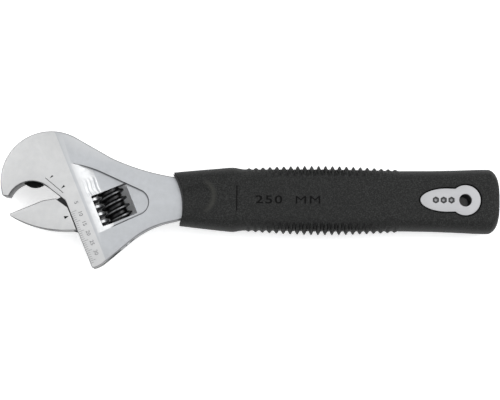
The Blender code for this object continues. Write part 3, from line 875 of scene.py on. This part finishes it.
def along(x, stops):
    """The value at x on straight runs between (x, value) stops."""
    for (x0, a), (x1, b) in zip(stops, stops[1:]):
        if x <= x1:
            return a + (b - a) * min(max((x - x0) / (x1 - x0), 0.0), 1.0)
    return stops[-1][1]


def grip_half_width(x):
    stops = [(-45, 12.75), (-10.5, 16.1), (-8.0, 16.15), (-4.0, 15.45), (-1.5, 15.3), (76, 15.15)]
    return along(x, stops + [(92, 15.3), (102, 15.6), (114, 16.1), (118, 16.2)])


def grip_half_thickness(x):
    return along(x, [(-38, 9.5), (-9, 10.5), (130, 10.5)])


def section(half_width, half_thickness, corner_width, corner_height):
    """A rectangle with elliptical corners, as (y, z), with points along its two long flats."""
    steps, across = 16, 12
    corner = [(corner_width * x, corner_height * y) for x, y in arc((0, 0), 1.0, 0, 90, steps)]
    y0, z0 = half_width - corner_width, half_thickness - corner_height
    right = [(y0 + y, z0 + z) for y, z in corner]
    flat = [(y0 - 2 * y0 * i / across, half_thickness) for i in range(1, across)]
    left = [(-y, z) for y, z in reversed(right)]
    upper = right + flat + left
    return upper + [(-y, -z) for y, z in upper]


def rib_shape(x):
    """(height over the valley, share of a crest) at x."""
    place = (x - FIRST_RIB_X) / RIB_PITCH
    rib = round(place)
    if not 0 <= rib < RIB_COUNT:
        return 0.0, 0.0
    swell = math.sin(math.pi * (rib + 0.5) / RIB_COUNT)
    share = min(max((0.38 - abs(place - rib)) / 0.3, 0.0), 1.0)
    return 0.5 + 1.6 * swell, share


def on_grip(x, y, z, half_width):
    """Where the ribs, their gaps and the thumb dimple leave a point of the plain grip."""
    height, share = rib_shape(x)
    if height:
        reach = abs(y)
        start = 13.6 - height
        side = soft_step(reach, start, start + 2.0)
        gap = soft_step(reach, start - 0.4, start + 0.4) * (1 - soft_step(reach, 14.2, 15.2))
        away = height * side * share - 0.55 * height * gap * (1 - share)
        lean = min(max((reach - (half_width - CORNER_WIDTH)) / CORNER_WIDTH, 0.0), 1.0)
        y += math.copysign(away * lean, y)
        z += math.copysign(away * (1 - lean), z)
    if z > 5:
        from_dimple = x - DIMPLE_CENTRE[0]
        length = 8.5 if from_dimple > 0 else 11.0
        inside = 1 - math.hypot(from_dimple / length, (y - DIMPLE_CENTRE[1]) / 7.6)
        z -= DIMPLE_DEPTH * soft_step(inside, 0.0, 0.4)
    return x, y, z


def front_x(y):
    return SCOOP_CENTRE[0] + math.sqrt(SCOOP_RADIUS**2 - (y - SCOOP_CENTRE[1]) ** 2)


def outer_ring(x, inset=0.0):
    half_width = grip_half_width(x) - inset
    thick = grip_half_thickness(x) - inset
    return x, half_width, section(half_width, thick, CORNER_WIDTH, thick - 1.0)


def end_ring(turn):
    back = 1 - math.cos(turn)
    x = GRIP_END_X - END_ROUND + END_ROUND * math.sin(turn)
    half_width = GRIP_END_HALF_WIDTH - END_ROUND * back
    thick = GRIP_HALF_THICKNESS - 4.0 * back
    return x, half_width, section(half_width, thick, CORNER_WIDTH, thick - 1.0)


def sleeve_rings():
    """(x, half width, section) of the sleeve's rings, from inside its mouth to its closed end."""
    bore = section(SLEEVE_BORE_HALF_WIDTH, 7.75, 2.15, 2.15)
    rings = [(x, SLEEVE_BORE_HALF_WIDTH, bore) for x in (-20.0, GRIP_FRONT_X)]
    front = ((GRIP_FRONT_X, 0.6), (GRIP_FRONT_X + 0.15, 0.2), (GRIP_FRONT_X + 0.5, 0.0))
    rings += [outer_ring(x, inset) for x, inset in front]
    rings += [outer_ring(GRIP_FRONT_X + 1.0 + 0.9 * i) for i in range(38)]
    ribs_start, per_rib = FIRST_RIB_X - RIB_PITCH / 2, 14
    ribbed = range(RIB_COUNT * per_rib + 1)
    rings += [outer_ring(ribs_start + RIB_PITCH * i / per_rib) for i in ribbed]
    rings += [outer_ring(78.0 + 2.0 * i) for i in range(21)]
    end_steps = 12
    return rings + [end_ring(FLAT * i / end_steps) for i in range(1, end_steps + 1)]


def scooped(x, y):
    """x on the real grip, whose front edge is hollow and whose end is bowed."""
    if x < -15:
        ahead = (x - GRIP_FRONT_X) / (-15.0 - GRIP_FRONT_X)
        return front_x(y) * (1 - ahead) - 15.0 * ahead
    if x > 119:
        return x - 0.006 * y * y * (x - 119) / 6
    return x


def make_sleeve(rubber):
    rings = sleeve_rings()
    columns = len(rings[0][2])
    form = bmesh.new()
    bmesh.ops.create_grid(form, x_segments=columns, y_segments=len(rings) - 1, size=1.0)
    in_order = sorted(form.verts, key=lambda vert: (round(vert.co.y, 5), round(vert.co.x, 5)))
    for index, vert in enumerate(in_order):
        row, column = divmod(index, columns + 1)
        x, half_width, outline = rings[row]
        y, z = outline[column % columns]
        vert.co = on_grip(scooped(x, y), y, z, half_width)
    bmesh.ops.remove_doubles(form, verts=form.verts, dist=0.0005)
    bmesh.ops.holes_fill(form, edges=[edge for edge in form.edges if edge.is_boundary])
    bmesh.ops.recalc_face_normals(form, faces=form.faces)
    pocket = badge_outline(0.75)
    through = moved(bar(HANG_HOLE_RADIUS + 0.3, -9, 9), AT_HANG_HOLE)
    cuts = [plate(pocket, BADGE_BACK, PAST_FACE), plate(pocket, -PAST_FACE, -BADGE_BACK), through]
    sleeve = shaped(form, cuts)
    replaced = ["grip_sleeve"]
    return finished("soft_sleeve", sleeve, rubber, replaces=replaced, sharp=50)


def badge_outline(margin=0.0):
    ring, half = BADGE_RING_RADIUS + margin, BADGE_LEAF_HALF_WIDTH + margin
    reach = BADGE_LEAF_LENGTH + margin
    turn = math.degrees(math.asin(half * 0.98 / ring))
    leaf = [(BADGE_LEAF_X + reach * x, half * y) for x, y in arc((0, 0), 1.0, 90, 270, 48)]
    return arc((HANG_HOLE_X, 0), ring, turn - 180, 180 - turn, 64) + leaf


def badge_form():
    badge = round_edges(plate(badge_outline(), BADGE_BACK, 10.3), is_rim, 0.25, 2)
    return shaped(badge, [moved(bar(HANG_HOLE_RADIUS, 0, 30), AT_HANG_HOLE)])


def make_badges(pale, dark):
    pips, seats = [], []
    for x in PIP_PLACES:
        place = Matrix.Translation((x, 0, 0))
        pips.append(moved(shaped(bar(1.75, 9.6, 10.36, 6), [bar(0.75, 5, 12, 24)]), place))
        seats.append(moved(bar(1.8, 9.6, 12, 6), place))
    front = shaped(badge_form(), seats)
    back = mirrored(badge_form())
    finished("hole_badge_front", front, pale, replaces=["badge_front"])
    finished("hole_badge_back", back, pale, replaces=["badge_back"])
    finished("badge_pips", gathered(pips), dark, replaces=["badge_mark"])


# Marks


def stroke(start, end, width, low, high):
    """A thin raised line between two points."""
    a, b = Vector(start), Vector(end)
    side = (b - a).normalized().orthogonal() * width / 2
    return plate([tuple(a - side), tuple(b - side), tuple(b + side), tuple(a + side)], low, high)


def marking(words, height, stretch, spacing, bold, low, high):
    """Flat letters between two heights."""
    letters = lettering(words, height, stretch, spacing, bold)
    bmesh.ops.scale(letters, vec=(1, 1, high - low), verts=letters.verts)
    bmesh.ops.translate(letters, verts=letters.verts, vec=(0, 0, low))
    return letters


def make_scale(etch):
    """The jaw scale on the strip: a short line each millimetre or so, a long one each fifth."""
    scale = []
    for i in range(27):
        v = 4.2 - i * SCALE_STEP
        length = 3.2 if i % 5 == 0 else 1.9
        scale.append(stroke((-21.9, v), (-21.9 + length, v), 0.22, MARK_LOW, MARK_HIGH))
    for i in range(6):
        number = marking(str(5 * i + 5), 2.7, 1.0, 1.0, 0.03, MARK_LOW, MARK_HIGH)
        place = Matrix.Translation((-17.4, 8.6 - 5 * SCALE_STEP * i, 0))
        scale.append(moved(number, place @ Matrix.Rotation(-FLAT, 4, "Z")))
    finished("jaw_scale", moved(gathered(scale), TO_HEAD), etch)


def make_marks(dark):
    fixed = [
        stroke((-102.6, 9.7), (-93.5, 2.2), 0.3, MARK_LOW, MARK_HIGH),
        plate([(-100.4, 9.4), (-98.4, 10.6), (-99.3, 11.0)], MARK_LOW, MARK_HIGH),
        plate([(-94.6, 4.3), (-92.6, 5.4), (-93.3, 6.2)], MARK_LOW, MARK_HIGH),
    ]
    finished("jaw_lines", gathered(fixed), dark)
    index = moved(plate([(-25.6, 3.9), (-25.6, 2.3), (-23.2, 3.0)], MARK_LOW, MARK_HIGH), TO_HEAD)
    finished("jaw_index", index, dark, "sliding_jaw")
    low, high = GRIP_HALF_THICKNESS - 0.27, GRIP_HALF_THICKNESS + 0.03
    size = [stroke((-6.6, 6.4), (-6.6, -6.0), 0.6, low - 0.03, high)]
    for word, x, bold in (("250", 2.6, 0.07), ("MM", 22.2, 0.0)):
        letters = marking(word, 5.6, 1.45, 1.18, bold, low, high)
        size.append(moved(letters, Matrix.Translation((x, -0.7, 0))))
    finished("size_mark", gathered(size), dark)


# Studio


def make_studio():
    floor_form = bmesh.new()
    bmesh.ops.create_grid(floor_form, x_segments=1, y_segments=1, size=3.0)
    bmesh.ops.translate(floor_form, verts=floor_form.verts, vec=(0, 0, -0.2 * MM))
    mesh = bpy.data.meshes.new("floor")
    floor_form.to_mesh(mesh)
    floor_form.free()
    floor = bpy.data.objects.new("floor", mesh)
    bpy.context.scene.collection.objects.link(floor)
    paper = Finish("pale_floor", (0.9, 0.9, 0.9), 0.9)
    paper.colour(paper.mix(paper.noise(3.0), (0.88, 0.88, 0.88), (0.9, 0.9, 0.9)))
    paper.shader.inputs["Emission Color"].default_value = (1, 1, 1, 1)
    # Painted light: the floor glows a little so shadows stay pale; painted shadow under the two
    # openings.
    holes = [paper.off_line(x, y) for x, y in ((HANG_HOLE_X, 0), WORM_CENTRE)]
    glow = paper.product(0.45, *(paper.between(hole, 11 * MM, 15 * MM) for hole in holes))
    paper.feed(paper.shader.inputs["Emission Strength"], glow)
    mesh.materials.append(paper.material)

    world = bpy.data.worlds.new("studio")
    world.use_nodes = True
    tree = world.node_tree
    direction = tree.nodes.new("ShaderNodeTexCoord")
    split = tree.nodes.new("ShaderNodeSeparateXYZ")
    rise = tree.nodes.new("ShaderNodeMapRange")
    sky = tree.nodes["Background"]
    tree.links.new(direction.outputs["Generated"], split.inputs[0])
    tree.links.new(split.outputs["Z"], rise.inputs["Value"])
    rise.inputs["To Min"].default_value = 0.28
    rise.inputs["To Max"].default_value = 1.0
    tree.links.new(rise.outputs["Result"], sky.inputs["Strength"])
    sky.inputs["Color"].default_value = (0.98, 0.99, 1.0, 1)
    bpy.context.scene.world = world
    bpy.context.scene.view_settings.view_transform = "Standard"

    lights = (
        ("key", (0.85, 0.35, 0.85), 0.8, 7.0),
        ("fill", (-0.9, 0.3, 0.9), 0.8, 2.5),
        ("top", (0.0, 0.1, 1.3), 1.4, 3.0),
    )
    for name, place, size, power in lights:
        lamp = bpy.data.lights.new(name, "AREA")
        lamp.size = size
        lamp.energy = power
        light = bpy.data.objects.new(name, lamp)
        light.location = place
        light.rotation_euler = (-Vector(place)).to_track_quat("-Z", "Y").to_euler()
        bpy.context.scene.collection.objects.link(light)


def make_camera():
    distance, elevation, roll = 0.975, math.radians(85.4), math.radians(0.5)
    target = Vector((0, 0, MID_Z * MM))
    camera = bpy.data.objects.new("camera", bpy.data.cameras.new("camera"))
    camera.data.lens = 139.3
    camera.location = target + distance * Vector((0, -math.cos(elevation), math.sin(elevation)))
    aim = (target - camera.location).to_track_quat("-Z", "Y").to_matrix()
    camera.rotation_euler = (aim @ Matrix.Rotation(roll, 3, "Z")).to_euler()
    camera.data.clip_start = 0.05
    bpy.context.scene.collection.objects.link(camera)
    bpy.context.scene.camera = camera


chrome = chrome_finish()
oxide = oxide_finish()
steel = steel_finish()
rubber = rubber_finish()
hard_plastic = hard_plastic_finish()
pale_plastic = badge_finish()
etch = etch_finish()
matt_black = matt_black_finish()

make_camera()
make_body(chrome)
make_jaw(chrome)
make_worm(oxide)
make_pin(steel)
make_spring(steel)
make_insert(matt_black)
make_sleeve(rubber)
make_badges(pale_plastic, hard_plastic)
make_scale(etch)
make_marks(matt_black)
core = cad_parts["grip_core"]
core.data.materials.clear()
core.data.materials.append(hard_plastic)
make_studio()
